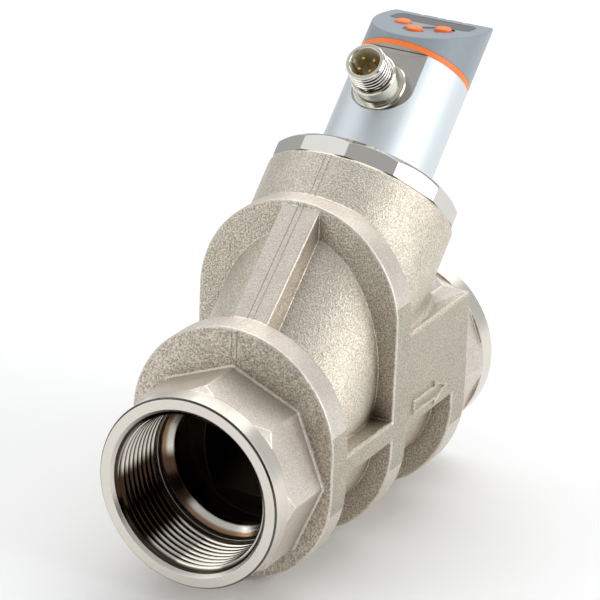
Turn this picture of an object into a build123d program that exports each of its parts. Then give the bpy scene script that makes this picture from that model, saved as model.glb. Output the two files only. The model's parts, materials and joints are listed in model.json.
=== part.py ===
"""Inline flow sensor with a slanted-seat valve body and a swivelling display head.

Millimetres. The origin is the centre of the inlet face, +X runs with the flow to the
outlet, +Z is up, and the slanted neck leans from +Z towards the outlet in the plane
Y = 0. Heights h are measured up the neck from the point where its axis crosses the
flow axis. Across the neck, m is measured towards the connector side.
"""
from build123d import *
from math import atan2, cos, degrees, hypot, radians, sin, sqrt, tan
import os

os.makedirs("parts", exist_ok=True)

# Driving dimensions of the cast body
body_length = 134.0
barrel_radius = 26.3
neck_cross_x = 40.0
neck_angle = 45.0
belly_radius = 26.8
neck_radius = 28.7
neck_top = 80.0
belly_end_drop = 8.0

# Threaded ends for G 1 1/2 pipe thread
thread_major_radius = 23.9
thread_length = 21.5
mouth_chamfer = 0.9
rim_radius = 28.15
rim_length = 6.0
rim_edge = 0.5
octagon_apothem = 27.25
inlet_end_length = 24.0
outlet_end_length = 26.8
octagon_edge_radius = 1.0
corner_cone_length = 3.2

# Casting ribs
rib_thickness = 9.0
rib_reach = 2.8
rib_drop = 2.4
rib_edge_radius = 0.7
rib_foot_radius = 0.8
end_rib_rise = 8.5
tall_rib_rise = 34.7
tall_rib_x = 60.0
web_foot_width = 10.8
web_head_width = 12.4
web_edge_radius = 0.7
keel_width = 10.0
keel_inset = 2.0
web_start_drop = 0.6
fin_low = 0.5
fin_high = 7.0
fin_edge_radius = 1.2
pad_low = 1.5
pad_high = 31.0
pad_edge_radius = 1.2
pad_corner_radius = 3.0
neck_foot_margin = 0.2
arrow_height = 0.5
arrow_tail_gap = 3.2
arrow_tip_gap = 4.7
arrow_head_share = 0.38
arrow_rise = 5.5
arrow_half = 2.1
arrow_head_half = 3.8
arrow_line = 0.7

# Flow passages
shoulder_start_x = 23.6
shoulder_radius = 22.2
port_x = 25.6
port_radius = 19.2
port_length = 2.4
chamber_radius = 21.6
chamber_step = 1.0
chamber_end_x = 38.0
outlet_chamber_radius = 21.0
outlet_port_radius = 20.0
outlet_port_overlap = 4.0
seat_bore_radius = 16.3
seat_bore_start = -12.0
seat_floor = 20.0
neck_bore_radius = 20.5
partition_side = 20.5
bonnet_bore_radius = 24.0
bonnet_bore_depth = 14.0

# Seat ring, piston and spring
seat_ring_radius = 19.0
seat_ring_depth = 3.5
seat_lip_radius = 18.3
seat_lip_height = 0.9
nose_radius = 15.5
nose_face = 15.2
nose_dome = 1.4
piston_flange_radius = 19.6
piston_flange_thickness = 4.0
seal_gap = 0.1
seal_wire_radius = 0.9
seal_ring_radius = 17.2
stem_radius = 9.0
stem_top = 62.0
stroke = 12.0
magnet_radius = 6.9
magnet_length = 6.0
magnet_pocket_radius = 7.0
clip_thickness = 1.5
spring_coil_radius = 15.4
spring_wire_radius = 0.9
spring_turns = 6.0

# Bonnet nut with the guide sleeve
nut_sides = 12
nut_apothem = 27.85
nut_height = 6.1
nut_first_corner = 9.0
nut_chamfer_radius = 27.0
spigot_radius = 23.9
spigot_length = 13.5
sleeve_radius = 13.2
sleeve_end = 52.0
guide_bore_radius = 11.0
guide_bore_spare = 2.0
pressure_wall = 3.0
pocket_radius = 15.2
bonnet_seal_wire_radius = 1.0
bonnet_seal_offset = 4.0
bush_length = 8.0
bush_running_gap = 0.06

# Sensor head
head_gap = 0.3
tube_radius = 17.25
tube_wall = 2.05
tube_floor = 2.0
tube_top_rise = 13.4
head_stem_radius = 14.9
head_stem_bore = 11.0
head_flange_thickness = 2.0
hub_opening_radius = 11.4
flat_drop = 8.3
flat_edge_gap = 0.05
flat_wall = 1.8
snap_groove_h = 82.6
snap_ring_thickness = 1.0
snap_groove_width = 1.2
snap_outer_radius = 16.3
snap_inner_radius = 14.15
snap_opening_angle = 24.0
head_seal_h = 80.6
head_seal_wire_radius = 0.8

# M12 connector, d measured outwards from the neck axis
connector_h = 109.0
shank_radius = 6.8
shank_tail = 0.7
base_flange_radius = 8.0
base_flange_thickness = 2.8
collar_radius = 6.9
collar_length = 6.3
m12_radius = 6.0
m12_length = 7.6
socket_radius = 4.5
socket_depth = 8.0
key_width = 1.2
key_height = 0.7
pin_radius = 0.5
pin_circle_radius = 2.5
pin_tip_below_rim = 1.6
pin_tail = 1.5
lock_nut_across_flats = 17.0
lock_nut_thickness = 2.4
lock_nut_side_gap = 0.3

# Display cap
cap_gap = 0.1
ring_inset = 0.1
ring_height = 1.8
cap_inset = 0.05
cap_wall = 1.8
face_tilt = 39.7
face_low_rise = 1.67
face_rear = 6.65
face_edge_radius = 0.5
face_thickness = 2.0
cap_floor = 1.7
hub_radius = 11.1
hub_bore_radius = 9.5
hub_lip_radius = 12.1
hub_lip_height = 1.1
hub_lip_gap = 0.3
window_rear = 3.9
window_front = -4.3
window_half_rear = 13.2
window_half_front = 11.6
window_thickness = 0.9
window_ledge = 0.9
button_radius = 2.5
button_clearance = 0.15
button_side_u = -7.0
button_side_v = 6.6
button_front_u = -12.7
button_rise = 0.75
button_flange_radius = 3.1
button_flange_thickness = 0.9
button_flange_gap = 0.3
button_travel = 0.6
groove_radius = 3.5
groove_depth = 0.5
mat_gap = 0.4
mat_thickness = 0.4
board_thickness = 1.0
board_floor_gap = 0.15
notch_width = 1.3
notch_depth = 0.6
notch_places = (-7.0, -1.4, 1.4, 7.0)

# Electronics
board_m = -3.0
board_top_gap = 2.4
board_side_gap = 0.9
board_tip_width = 14.0
board_tip_gap = 1.2
main_board_thickness = 1.6
holder_height = 3.0
holder_width = 4.1
holder_side_gap = 0.1
sensor_spacing = 6.0
sensor_width = 3.0
sensor_length = 4.0
sensor_height = 1.2
post_radius = 1.0
post_u = 4.9
post_v = 10.4
display_board_width = 25.0
display_board_front_width = 22.0
module_width = 20.0
lamp_width = 0.8
lamp_length = 1.6
lamp_places = (-7.5, -2.5, 2.5, 7.5)

# Values that follow from the sizes above
slant = radians(neck_angle)
envelope_radius = octagon_apothem / cos(radians(22.5)) + rib_reach
neck_foot_radius = envelope_radius - pad_edge_radius - neck_radius - neck_foot_margin
disc_in_x = inlet_end_length
disc_out_x = body_length - outlet_end_length - rib_thickness
nut_top = neck_top + nut_height
tube_start = nut_top + head_gap
guide_bore_top = stem_top + stroke + guide_bore_spare
pocket_floor = guide_bore_top + pressure_wall
tube_top = connector_h + tube_top_rise
flat_bottom = connector_h - flat_drop
board_top = tube_top - head_flange_thickness - board_top_gap
ring_start = tube_top + cap_gap
cap_start = ring_start + ring_height
tilt = radians(face_tilt)
ring_radius = tube_radius - ring_inset
cap_radius = tube_radius - cap_inset
face_h = cap_start + face_low_rise + cap_radius * tan(tilt)
cap_top = face_h + face_rear * sin(tilt)
lip_top = seat_floor + seat_lip_height
flange_under = lip_top + 0.4
flange_top = flange_under + piston_flange_thickness
spigot_start = neck_top - spigot_length
seal_centre_h = lip_top + seal_gap + seal_wire_radius
tube_bore_radius = tube_radius - tube_wall
flat_inner_m = sqrt(tube_bore_radius**2 - (lock_nut_across_flats / 2 + lock_nut_side_gap) ** 2)
flat_m = flat_inner_m + flat_wall
flat_half_width = sqrt(tube_radius**2 - flat_m**2) - flat_edge_gap
shank_start = flat_inner_m - lock_nut_thickness - shank_tail
flange_end = flat_m + base_flange_thickness
collar_end = flange_end + collar_length
m12_end = collar_end + m12_length
board_width = 2 * (sqrt(tube_bore_radius**2 - (main_board_thickness - board_m) ** 2) - board_side_gap)
flange_face = -face_thickness - button_flange_gap
board_drop = button_flange_thickness - flange_face + button_travel + mat_gap + mat_thickness
module_height = board_drop - face_thickness + 0.3
board_low_h = cap_start + cap_floor + board_floor_gap
board_front = (board_low_h - face_h + (board_drop + board_thickness) * cos(tilt)) / sin(tilt)


def across(x):
    """Plane across the flow at x; sketch x is +Y and sketch y is +Z."""
    return Plane.YZ.offset(x)


def neck_plane(h):
    """Plane across the neck at height h; sketch x is m and sketch y is -Y."""
    return Plane(
        origin=(neck_cross_x + h * cos(slant), 0, h * sin(slant)),
        x_dir=(-sin(slant), 0, cos(slant)),
        z_dir=(cos(slant), 0, sin(slant)),
    )


def neck_section():
    """Plane of the neck's profiles; sketch x is m and sketch y is h."""
    return Plane(
        origin=(neck_cross_x, 0, 0),
        x_dir=(-sin(slant), 0, cos(slant)),
        z_dir=(0, 1, 0),
    )


def neck_axis():
    """The neck's own axis, from the flow axis upwards."""
    return Axis((neck_cross_x, 0, 0), (cos(slant), 0, sin(slant)))


def connector_plane(d):
    """Plane across the connector at distance d from the neck axis."""
    return Plane(
        origin=(
            neck_cross_x + connector_h * cos(slant) - d * sin(slant),
            0,
            connector_h * sin(slant) + d * cos(slant),
        ),
        x_dir=(cos(slant), 0, sin(slant)),
        z_dir=(-sin(slant), 0, cos(slant)),
    )


def face_plane(rise):
    """Plane along the display face; sketch x climbs the slope and sketch y is +Y."""
    base = neck_plane(face_h)
    normal = base.z_dir * cos(tilt) + base.x_dir * sin(tilt)
    climb = base.z_dir * sin(tilt) - base.x_dir * cos(tilt)
    return Plane(origin=base.origin + normal * rise, x_dir=climb, z_dir=normal)


def rib_profile(x, rise):
    """Outline of one casting rib: a round-ended plate across the flow at x."""
    with BuildSketch(across(x)) as profile:
        with Locations((0, (rise - rib_drop) / 2)):
            SlotCenterToCenter(rise + rib_drop, 2 * envelope_radius, rotation=90)
    return profile.sketch


def octagon_profile(x):
    """Wrench flats of a threaded end, with one corner at the top."""
    with BuildSketch(across(x)) as profile:
        RegularPolygon(octagon_apothem, 8, major_radius=False)
        fillet(profile.vertices(), octagon_edge_radius)
    return profile.sketch


def is_inlet_octagon_foot(edge):
    """True for an edge where the inlet's wrench flats meet the first rib."""
    middle = edge.center()
    reach = hypot(middle.Y, middle.Z)
    return abs(middle.X - disc_in_x) < 0.01 and octagon_apothem - 1 < reach < envelope_radius - 2


def ring_profile(*points):
    """Closed outline in the plane Y = 0, to be turned about the flow axis."""
    with BuildSketch(Plane.XZ) as profile:
        with BuildLine():
            Polyline(*points, close=True)
        make_face()
    return profile.sketch


def corner_cone_profile(x_face, inward):
    """Ring that takes the octagon's corners off beside the rim."""
    return ring_profile(
        (x_face + inward * rim_length, rim_radius - 0.4),
        (x_face + inward * (rim_length + corner_cone_length), envelope_radius - 2.6),
        (x_face + inward * (rim_length + corner_cone_length), envelope_radius),
        (x_face + inward * rim_length, envelope_radius),
    )


def rim_profile(x_face, inward):
    """Half section of the turned rim at one end."""
    return ring_profile(
        (x_face, 0),
        (x_face, rim_radius - rim_edge),
        (x_face + inward * rim_edge, rim_radius),
        (x_face + inward * (rim_length + 0.5), rim_radius),
        (x_face + inward * (rim_length + 1.2), 0),
    )


def port_profile(x_face, inward, throat_radius, throat_end):
    """Half section of one threaded bore, down to its throat."""
    return ring_profile(
        (x_face - inward, 0),
        (x_face - inward, thread_major_radius + mouth_chamfer),
        (x_face, thread_major_radius + mouth_chamfer),
        (x_face + inward * mouth_chamfer, thread_major_radius),
        (x_face + inward * thread_length, thread_major_radius),
        (x_face + inward * thread_length, shoulder_radius),
        (x_face + inward * shoulder_start_x, shoulder_radius),
        (x_face + inward * port_x, throat_radius),
        (x_face + inward * throat_end, throat_radius),
        (x_face + inward * throat_end, 0),
    )


# Outlet passage behind the slanted partition
upper_x = neck_cross_x + (seat_floor + 1) / cos(slant)
lower_x = neck_cross_x + partition_side / sin(slant)
apex_z = (upper_x - lower_x) / 2
with BuildPart() as outlet_core:
    with BuildSketch(across(neck_cross_x)):
        Circle(outlet_chamber_radius)
    extrude(amount=disc_out_x + 6 - neck_cross_x)
    with BuildSketch(Plane.XZ):
        with BuildLine():
            Polyline(
                (lower_x - chamber_radius, -chamber_radius),
                (lower_x + apex_z, apex_z),
                (upper_x - chamber_radius, chamber_radius),
                (body_length, chamber_radius),
                (body_length, -chamber_radius),
                close=True,
            )
        make_face()
    extrude(amount=chamber_radius, both=True, mode=Mode.INTERSECT)

# Fins along both sides between the first two ribs
with BuildPart() as side_fins:
    with BuildSketch(Plane.XY.offset(fin_low)):
        with Locations(((disc_in_x + tall_rib_x + rib_thickness) / 2, 0)):
            Rectangle(tall_rib_x - disc_in_x, 2 * envelope_radius)
    extrude(amount=fin_high - fin_low)
    fillet(side_fins.edges().filter_by(Axis.X), fin_edge_radius)

# Flat pads on both sides, from the tall rib to the last one
pad_start = tall_rib_x + rib_thickness / 2
pad_end = disc_out_x + rib_thickness
with BuildPart() as side_pads:
    with BuildSketch(Plane.XZ) as pad_outline:
        with Locations(((pad_start + pad_end) / 2, (pad_low + pad_high) / 2)):
            Rectangle(pad_end - pad_start, pad_high - pad_low)
        fillet(pad_outline.vertices().group_by(Axis.X)[-1].sort_by(Axis.Z)[-1], pad_corner_radius)
    extrude(amount=envelope_radius, both=True)
    fillet(side_pads.faces().filter_by(Axis.Y).edges(), pad_edge_radius)

# Web along the top, from the first rib up to the tall one
web_foot_z = end_rib_rise + envelope_radius - web_start_drop
web_head_z = tall_rib_rise + envelope_radius - web_start_drop
with BuildPart() as top_web:
    with BuildSketch(Plane.XZ):
        with BuildLine():
            Polyline(
                (disc_in_x + rib_thickness / 2, 0),
                (disc_in_x + rib_thickness / 2, web_foot_z - rib_thickness / 2),
                (disc_in_x + rib_thickness - 1, web_foot_z),
                (tall_rib_x + 1, web_head_z),
                (tall_rib_x + rib_thickness / 2, tall_rib_rise),
                (tall_rib_x + rib_thickness / 2, 0),
                close=True,
            )
        make_face()
    extrude(amount=web_head_width / 2, both=True)
    with BuildSketch(Plane.XY):
        with BuildLine():
            Polyline(
                (disc_in_x, web_foot_width / 2),
                (tall_rib_x + rib_thickness, web_head_width / 2),
                (tall_rib_x + rib_thickness, -web_head_width / 2),
                (disc_in_x, -web_foot_width / 2),
                close=True,
            )
        make_face()
    extrude(amount=web_head_z, mode=Mode.INTERSECT)
    web_normal = Vector(web_foot_z - web_head_z, 0, tall_rib_x + 2 - disc_in_x - rib_thickness)
    fillet(top_web.faces().sort_by(Axis((0, 0, 0), web_normal))[-1].edges(), web_edge_radius)

# Cast body with machined ends
with BuildPart() as valve_body:
    # Casting ribs with rounded edges
    extrude(rib_profile(disc_in_x, end_rib_rise), amount=rib_thickness)
    extrude(rib_profile(tall_rib_x, tall_rib_rise), amount=rib_thickness)
    extrude(rib_profile(disc_out_x, end_rib_rise), amount=rib_thickness)
    fillet(valve_body.edges(), rib_edge_radius)
    add(side_fins.part)
    add(side_pads.part)
    add(top_web.part)

    # Keel along the bottom
    with BuildSketch(across(disc_in_x + keel_inset)):
        with Locations((0, -rib_drop - envelope_radius / 2)):
            Rectangle(keel_width, envelope_radius)
    extrude(amount=disc_out_x + rib_thickness - disc_in_x - 2 * keel_inset)

    # Barrel and the slanted belly in front of the tall rib
    with BuildSketch(across(disc_in_x)):
        Circle(barrel_radius)
    extrude(amount=disc_out_x + rib_thickness - disc_in_x)
    with BuildSketch(neck_plane(0)):
        Circle(belly_radius)
    extrude(amount=neck_top - belly_end_drop)

    # Wrench ends with coned corners and turned rims
    for x_face, inward in ((0, 1), (body_length, -1)):
        end_length = inlet_end_length if inward > 0 else outlet_end_length
        extrude(
            octagon_profile(x_face + inward * rim_length),
            amount=inward * (end_length - rim_length + 1),
        )
        revolve(corner_cone_profile(x_face, inward), axis=Axis.X, mode=Mode.SUBTRACT)
        revolve(rim_profile(x_face, inward), axis=Axis.X)

    # Cast fillet where the inlet's wrench flats meet the first rib
    fillet(valve_body.edges().filter_by(is_inlet_octagon_foot), rib_foot_radius)

# Upper neck, which stands behind the tall rib
with BuildPart() as upper_neck:
    with BuildSketch(neck_plane(seat_floor)):
        Circle(neck_radius)
    extrude(amount=neck_top - seat_floor)
    chamfer(upper_neck.edges().sort_by(neck_axis())[-1], 0.6)
    split(bisect_by=across(tall_rib_x + rib_thickness / 2), keep=Keep.TOP)

# Cast fillet round the neck where it stands on the pads
foot_end = min(disc_out_x, neck_cross_x + pad_high + neck_radius)
with BuildPart() as neck_foot:
    with BuildSketch(Plane.XY.offset(pad_low)):
        with Locations(((pad_start + foot_end) / 2, 0)):
            Rectangle(foot_end - pad_start, 2 * (envelope_radius - pad_edge_radius))
    extrude(amount=pad_high - pad_low)
    with BuildSketch(neck_plane(seat_floor)):
        Circle(neck_radius)
    extrude(amount=neck_top - belly_end_drop - seat_floor)
    split(bisect_by=across(pad_start), keep=Keep.TOP)
    split(bisect_by=across(foot_end), keep=Keep.BOTTOM)
    pad_top_edges = neck_foot.edges().filter_by_position(Axis.Z, pad_high - 0.01, pad_high + 0.01)
    fillet(pad_top_edges.filter_by(GeomType.ELLIPSE), neck_foot_radius)

# Flow arrow raised on both pads
arrow_tail_x = tall_rib_x + rib_thickness + arrow_tail_gap
arrow_tip_x = disc_out_x - arrow_tip_gap
arrow_head_x = arrow_tip_x - arrow_head_share * (arrow_tip_x - arrow_tail_x)
arrow_mid_z = pad_low + arrow_rise
with BuildPart() as flow_arrow:
    with BuildSketch(Plane.XZ):
        with BuildLine():
            Polyline(
                (arrow_tail_x, arrow_mid_z - arrow_half),
                (arrow_head_x, arrow_mid_z - arrow_half),
                (arrow_head_x, arrow_mid_z - arrow_head_half),
                (arrow_tip_x, arrow_mid_z),
                (arrow_head_x, arrow_mid_z + arrow_head_half),
                (arrow_head_x, arrow_mid_z + arrow_half),
                (arrow_tail_x, arrow_mid_z + arrow_half),
                close=True,
            )
        make_face()
        offset(amount=-arrow_line, kind=Kind.INTERSECTION, mode=Mode.SUBTRACT)
    extrude(amount=envelope_radius + arrow_height, both=True)

with valve_body:
    add(upper_neck.part)
    add(neck_foot.part)
    add(flow_arrow.part)

    # Passages, cut from the finished outside
    inlet_port = port_profile(0, 1, port_radius, port_x + port_length)
    outlet_port_end = outlet_end_length + outlet_port_overlap
    outlet_port = port_profile(body_length, -1, outlet_port_radius, outlet_port_end)
    chamber = ring_profile(
        (port_x + port_length, 0),
        (port_x + port_length, port_radius),
        (port_x + port_length + chamber_step, chamber_radius),
        (chamber_end_x, chamber_radius),
        (chamber_end_x, 0),
    )
    for passage in (inlet_port, outlet_port, chamber):
        revolve(passage, axis=Axis.X, mode=Mode.SUBTRACT)
    with BuildSketch(neck_plane(seat_bore_start)):
        Circle(seat_bore_radius)
    extrude(amount=seat_floor - seat_bore_start, mode=Mode.SUBTRACT)
    with BuildSketch(neck_plane(seat_floor - seat_ring_depth)):
        Circle(seat_ring_radius)
    extrude(amount=seat_ring_depth, mode=Mode.SUBTRACT)
    with BuildSketch(neck_plane(seat_floor)):
        Circle(neck_bore_radius)
    extrude(amount=neck_top - seat_floor, mode=Mode.SUBTRACT)
    with BuildSketch(neck_plane(neck_top - bonnet_bore_depth)):
        Circle(bonnet_bore_radius)
    extrude(amount=bonnet_bore_depth, mode=Mode.SUBTRACT)
    add(outlet_core.part, mode=Mode.SUBTRACT)
valve_body.part.label = "valve_body"
export_step(valve_body.part, "parts/valve_body.step")

# Seat ring pressed into the slanted partition
with BuildPart() as seat_ring:
    with BuildSketch(neck_section()):
        with BuildLine():
            Polyline(
                (seat_bore_radius, seat_floor - seat_ring_depth),
                (seat_ring_radius, seat_floor - seat_ring_depth),
                (seat_ring_radius, seat_floor),
                (seat_lip_radius, seat_floor),
                (seat_lip_radius - 0.5, lip_top),
                (seat_bore_radius + 0.4, lip_top),
                (seat_bore_radius, lip_top - 0.4),
                close=True,
            )
        make_face()
    revolve(axis=neck_axis())
seat_ring.part.label = "seat_ring"
export_step(seat_ring.part, "parts/seat_ring.step")

# Piston: domed nose, sealing flange and hollow stem
groove_half = seal_wire_radius + 0.05
groove_top = seal_centre_h + seal_wire_radius
with BuildPart() as piston:
    with BuildSketch(neck_section()):
        with BuildLine():
            Polyline(
                (nose_radius, nose_face + nose_dome),
                (nose_radius, flange_under),
                (seal_ring_radius - groove_half, flange_under),
                (seal_ring_radius - groove_half, groove_top),
                (seal_ring_radius + groove_half, groove_top),
                (seal_ring_radius + groove_half, flange_under),
                (piston_flange_radius, flange_under),
                (piston_flange_radius, flange_top),
                (stem_radius + 2, flange_top),
                (stem_radius, flange_top + 2),
                (stem_radius, stem_top - 0.6),
                (stem_radius - 0.6, stem_top),
                (0, stem_top),
                (0, nose_face),
            )
            ThreePointArc(
                (0, nose_face),
                (nose_radius * 0.6, nose_face + nose_dome * 0.3),
                (nose_radius, nose_face + nose_dome),
            )
        make_face()
    revolve(axis=neck_axis())
    with BuildSketch(neck_plane(stem_top)):
        Circle(magnet_pocket_radius)
    extrude(amount=-(magnet_length + clip_thickness), mode=Mode.SUBTRACT)
piston.part.label = "piston"
export_step(piston.part, "parts/piston.step")

# Sealing ring under the piston flange
with BuildPart() as piston_seal:
    with BuildSketch(neck_section()):
        with Locations((seal_ring_radius, seal_centre_h)):
            Circle(seal_wire_radius)
    revolve(axis=neck_axis())
piston_seal.part.label = "piston_seal"
export_step(piston_seal.part, "parts/piston_seal.step")

# Magnet in the top of the stem, with its clip
with BuildPart() as piston_magnet:
    with BuildSketch(neck_plane(stem_top - clip_thickness - magnet_length)):
        Circle(magnet_radius)
    extrude(amount=magnet_length)
piston_magnet.part.label = "piston_magnet"
export_step(piston_magnet.part, "parts/piston_magnet.step")

with BuildPart() as magnet_clip:
    with BuildSketch(neck_plane(stem_top - clip_thickness)):
        Circle(magnet_radius)
        Circle(magnet_radius - 2.4, mode=Mode.SUBTRACT)
    extrude(amount=clip_thickness)
magnet_clip.part.label = "magnet_clip"
export_step(magnet_clip.part, "parts/magnet_clip.step")

# Return spring round the guide sleeve
spring_start = flange_top + spring_wire_radius
spring_height = spigot_start - flange_top - 2 * spring_wire_radius
with BuildPart() as return_spring:
    with BuildLine() as coil:
        Helix(
            spring_height / spring_turns,
            spring_height,
            spring_coil_radius,
            center=neck_plane(spring_start).origin,
            direction=neck_plane(0).z_dir,
        )
    with BuildSketch(Plane(origin=coil.line @ 0, z_dir=coil.line % 0)):
        Circle(spring_wire_radius)
    sweep(is_frenet=True)
return_spring.part.label = "return_spring"
export_step(return_spring.part, "parts/return_spring.step")

# Bonnet nut: chamfered twelve-sided flange, spigot, guide sleeve and head pocket
with BuildPart() as bonnet:
    with BuildSketch(neck_plane(neck_top)):
        RegularPolygon(nut_apothem, nut_sides, major_radius=False, rotation=nut_first_corner)
    extrude(amount=nut_height)
    with BuildSketch(neck_section()):
        with BuildLine():
            Polyline(
                (nut_chamfer_radius, nut_top),
                (nut_chamfer_radius + 3, nut_top),
                (nut_chamfer_radius + 3, nut_top - 3),
                close=True,
            )
        make_face()
    revolve(axis=neck_axis(), mode=Mode.SUBTRACT)
    with BuildSketch(neck_section()):
        with BuildLine():
            Polyline(
                (guide_bore_radius, sleeve_end),
                (sleeve_radius, sleeve_end),
                (sleeve_radius, spigot_start),
                (spigot_radius - 0.8, spigot_start),
                (spigot_radius, spigot_start + 0.8),
                (spigot_radius, neck_top),
                (0, neck_top),
                (0, guide_bore_top),
                (guide_bore_radius, guide_bore_top),
                close=True,
            )
        make_face()
    revolve(axis=neck_axis())
    with BuildSketch(neck_section()):
        with BuildLine():
            Polyline(
                (0, pocket_floor),
                (pocket_radius, pocket_floor),
                (pocket_radius, snap_groove_h - snap_groove_width / 2),
                (snap_outer_radius + 0.1, snap_groove_h - snap_groove_width / 2),
                (snap_outer_radius + 0.1, snap_groove_h + snap_groove_width / 2),
                (pocket_radius, snap_groove_h + snap_groove_width / 2),
                (pocket_radius, nut_top + 1),
                (0, nut_top + 1),
                close=True,
            )
        make_face()
    revolve(axis=neck_axis(), mode=Mode.SUBTRACT)
    # Groove of the bonnet seal
    bonnet_groove_depth = spigot_radius - bonnet_bore_radius + 2 * bonnet_seal_wire_radius
    with BuildSketch(neck_section()):
        with Locations((spigot_radius, spigot_start + bonnet_seal_offset)):
            Rectangle(2 * bonnet_groove_depth, 2 * bonnet_seal_wire_radius + 0.4)
    revolve(axis=neck_axis(), mode=Mode.SUBTRACT)
bonnet.part.label = "bonnet"
export_step(bonnet.part, "parts/bonnet.step")

# Seal between the bonnet and the neck
with BuildPart() as bonnet_seal:
    with BuildSketch(neck_section()):
        with Locations((bonnet_bore_radius - bonnet_seal_wire_radius, spigot_start + bonnet_seal_offset)):
            Circle(bonnet_seal_wire_radius)
    revolve(axis=neck_axis())
bonnet_seal.part.label = "bonnet_seal"
export_step(bonnet_seal.part, "parts/bonnet_seal.step")

# Plastic bush that guides the piston's stem
with BuildPart() as guide_bush:
    with BuildSketch(neck_section()):
        with BuildLine():
            Polyline(
                (stem_radius + bush_running_gap, sleeve_end - 1),
                (sleeve_radius, sleeve_end - 1),
                (sleeve_radius, sleeve_end),
                (guide_bore_radius, sleeve_end),
                (guide_bore_radius, sleeve_end + bush_length),
                (stem_radius + bush_running_gap, sleeve_end + bush_length),
                close=True,
            )
        make_face()
    revolve(axis=neck_axis())
guide_bush.part.label = "guide_bush"
export_step(guide_bush.part, "parts/guide_bush.step")

# Snap ring that keeps the head in the bonnet and lets it turn
with BuildPart() as snap_ring:
    with BuildSketch(neck_plane(snap_groove_h - snap_ring_thickness / 2)):
        Circle(snap_outer_radius)
        Circle(snap_inner_radius, mode=Mode.SUBTRACT)
        with BuildLine():
            gap_reach = snap_outer_radius + 2
            gap_side = gap_reach * tan(radians(snap_opening_angle / 2))
            Polyline((0, 0), (-gap_reach, gap_side), (-gap_reach, -gap_side), close=True)
        make_face(mode=Mode.SUBTRACT)
    extrude(amount=snap_ring_thickness)
snap_ring.part.label = "snap_ring"
export_step(snap_ring.part, "parts/snap_ring.step")

# Sensor housing: tube with a milled flat for the connector, and a stem into the bonnet
with BuildPart() as housing_core:
    with BuildSketch(neck_plane(tube_start + tube_floor)):
        Circle(tube_bore_radius)
        with Locations((flat_inner_m + tube_radius / 2, 0)):
            Rectangle(tube_radius, 2 * tube_radius, mode=Mode.SUBTRACT)
    extrude(amount=tube_top - head_flange_thickness - tube_start - tube_floor)

flat_arc_h = flat_bottom + flat_half_width
with BuildPart() as sensor_housing:
    with BuildSketch(neck_plane(tube_start)):
        Circle(tube_radius)
    extrude(amount=tube_top - tube_start)
    with BuildSketch(neck_plane(pocket_floor + head_gap)):
        Circle(head_stem_radius)
    extrude(amount=tube_start - pocket_floor - head_gap)
    with BuildSketch(neck_plane(pocket_floor)):
        Circle(head_stem_bore)
    extrude(amount=tube_start + tube_floor - pocket_floor, mode=Mode.SUBTRACT)
    add(housing_core.part, mode=Mode.SUBTRACT)
    with BuildSketch(neck_plane(tube_top)):
        Circle(hub_opening_radius)
    extrude(amount=-head_flange_thickness, mode=Mode.SUBTRACT)
    # Milled flat: a slot with a round lower end, open at the top
    with BuildSketch(connector_plane(flat_m)):
        with Locations((flat_arc_h - connector_h, 0)):
            Circle(flat_half_width)
        with Locations(((tube_top + 1 + flat_arc_h) / 2 - connector_h, 0)):
            Rectangle(tube_top + 1 - flat_arc_h, 2 * flat_half_width)
    extrude(amount=tube_radius, mode=Mode.SUBTRACT)
    with BuildSketch(connector_plane(flat_m)):
        Circle(shank_radius)
    extrude(amount=-flat_wall - 1, mode=Mode.SUBTRACT)
    # Grooves of the snap ring and the head seal
    head_groove_depth = head_stem_radius - pocket_radius + 2 * head_seal_wire_radius + 0.15
    with BuildSketch(neck_section()):
        with Locations((head_stem_radius, snap_groove_h)):
            Rectangle(2 * (head_stem_radius - snap_inner_radius + 0.15), snap_groove_width)
        with Locations((head_stem_radius, head_seal_h)):
            Rectangle(2 * head_groove_depth, 2 * head_seal_wire_radius + 0.1)
    revolve(axis=neck_axis(), mode=Mode.SUBTRACT)
sensor_housing.part.label = "sensor_housing"
export_step(sensor_housing.part, "parts/sensor_housing.step")

# Seal on the head's stem
with BuildPart() as head_seal:
    with BuildSketch(neck_section()):
        with Locations((pocket_radius - 0.1 - head_seal_wire_radius, head_seal_h)):
            Circle(head_seal_wire_radius)
    revolve(axis=neck_axis())
head_seal.part.label = "head_seal"
export_step(head_seal.part, "parts/head_seal.step")

# Connector shell with its socket
socket_floor = m12_end - socket_depth
with BuildPart() as connector_shell:
    with BuildSketch(connector_plane(shank_start)):
        Circle(shank_radius)
    extrude(amount=flat_m - shank_start)
    with BuildSketch(connector_plane(flat_m)):
        Circle(base_flange_radius)
    extrude(amount=base_flange_thickness)
    chamfer(
        connector_shell.edges().filter_by(GeomType.CIRCLE).sort_by(
            Axis(connector_plane(0).origin, connector_plane(0).z_dir)
        )[-1],
        0.5,
    )
    with BuildSketch(connector_plane(flange_end)):
        Circle(collar_radius)
    extrude(amount=collar_end - flange_end)
    with BuildSketch(connector_plane(collar_end)):
        Circle(m12_radius)
    extrude(amount=m12_end - collar_end)
    chamfer(
        connector_shell.edges().filter_by(GeomType.CIRCLE).sort_by(
            Axis(connector_plane(0).origin, connector_plane(0).z_dir)
        )[-1],
        0.4,
    )
    with BuildSketch(connector_plane(shank_start)):
        Circle(socket_radius)
    extrude(amount=m12_end - shank_start, mode=Mode.SUBTRACT)
connector_shell.part.label = "connector_shell"
export_step(connector_shell.part, "parts/connector_shell.step")

# Nut that clamps the shell from inside the tube
with BuildPart() as connector_nut:
    with BuildSketch(connector_plane(flat_inner_m - lock_nut_thickness)):
        RegularPolygon(lock_nut_across_flats / 2, 6, major_radius=False)
        Circle(shank_radius, mode=Mode.SUBTRACT)
    extrude(amount=lock_nut_thickness)
connector_nut.part.label = "connector_nut"
export_step(connector_nut.part, "parts/connector_nut.step")

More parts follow.
